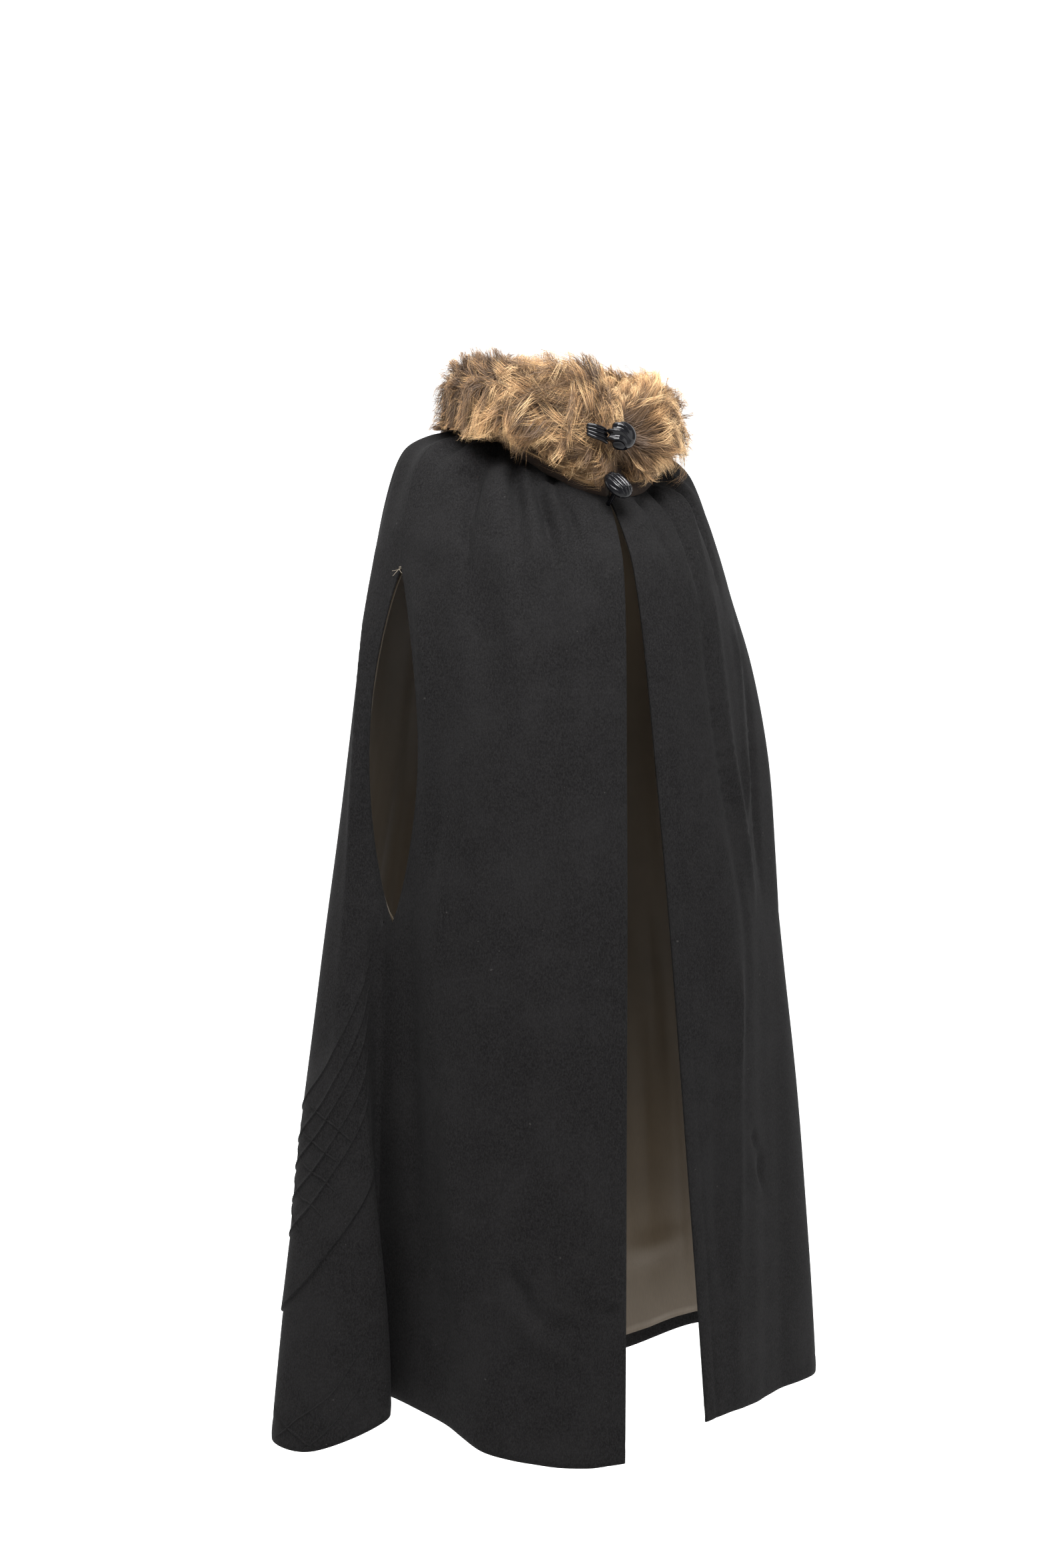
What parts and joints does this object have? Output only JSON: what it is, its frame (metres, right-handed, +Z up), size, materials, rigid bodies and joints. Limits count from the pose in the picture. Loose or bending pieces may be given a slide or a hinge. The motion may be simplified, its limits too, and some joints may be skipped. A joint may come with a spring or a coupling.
{
  "type": "cape coat",
  "caption": "Long open-fronted wool cape with a deep fur collar, arm slits at the sides, a satin lining and glossy closures at the neck, held as if worn",
  "frame": {"origin": "middle of the neck seam, where the wearer's shoulders and neck hold the cape", "axes": "+Z up along the hang of the cape, -Y the way the wearer faces, +X to the wearer's left"},
  "size_m": [0.6626, 0.4592, 1.1887],
  "materials": {
    "wool": "brown-black wool cloth with a short brushed nap",
    "satin": "soft gold satin",
    "fur": "long amber fur, dark at the roots",
    "jet": "glossy black"
  },
  "bodies": {
    "root": {"right_front": "wool", "left_front": "wool", "back": "wool", "back_lining": "satin", "right_front_lining": "satin", "left_front_lining": "satin", "fur_collar": "fur", "collar_tab": "jet", "collar_button": "jet", "oval_button": "jet"}
  },
  "joints": []
}
